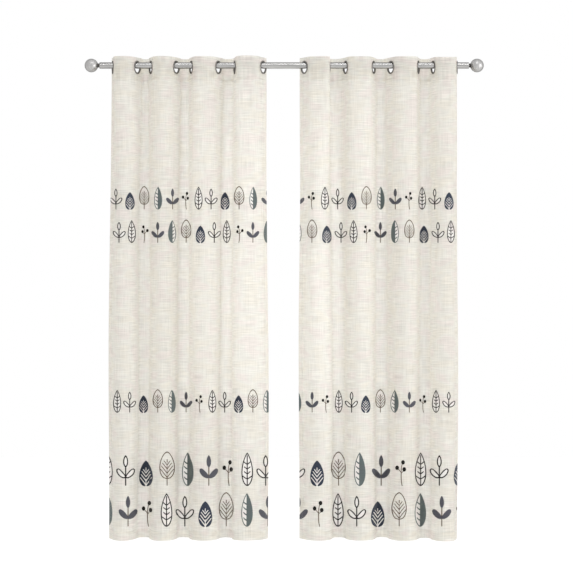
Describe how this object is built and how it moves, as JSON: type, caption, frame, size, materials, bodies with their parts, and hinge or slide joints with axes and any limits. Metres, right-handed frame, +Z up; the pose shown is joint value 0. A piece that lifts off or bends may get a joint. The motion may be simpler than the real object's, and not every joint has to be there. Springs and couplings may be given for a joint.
{
  "type": "sheer eyelet curtains with curtain rod",
  "caption": "Sheer eyelet curtains hanging in deep vertical folds from a metal rod with ball ends, printed with rows of small leaf motifs.",
  "frame": {"origin": "on the rod's axis, midway between its ends", "axes": "+X along the rod, to the right as seen from the room; -Y towards the room; +Z up"},
  "size_m": [1.768, 0.1643, 2.1384],
  "materials": {
    "linen_look_cloth": "cream linen-look sheer cloth with slub yarns and printed leaf rows",
    "brushed_nickel": "satin nickel plate, brushed along the rod",
    "dark_nickel": "darker nickel plate, polished"
  },
  "bodies": {
    "root": {"rod": "brushed_nickel", "left_neck": "dark_nickel", "left_ball": "brushed_nickel", "left_heading": "linen_look_cloth", "left_panel": "linen_look_cloth", "right_neck": "dark_nickel", "right_ball": "brushed_nickel", "right_heading": "linen_look_cloth", "right_panel": "linen_look_cloth", "left_eyelet_1": "dark_nickel", "left_eyelet_2": "dark_nickel", "left_eyelet_3": "dark_nickel", "left_eyelet_4": "dark_nickel", "left_eyelet_5": "dark_nickel", "left_eyelet_6": "dark_nickel", "left_eyelet_7": "dark_nickel", "left_eyelet_8": "dark_nickel", "right_eyelet_1": "dark_nickel", "right_eyelet_2": "dark_nickel", "right_eyelet_3": "dark_nickel", "right_eyelet_4": "dark_nickel", "right_eyelet_5": "dark_nickel", "right_eyelet_6": "dark_nickel", "right_eyelet_7": "dark_nickel", "right_eyelet_8": "dark_nickel"}
  },
  "joints": []
}
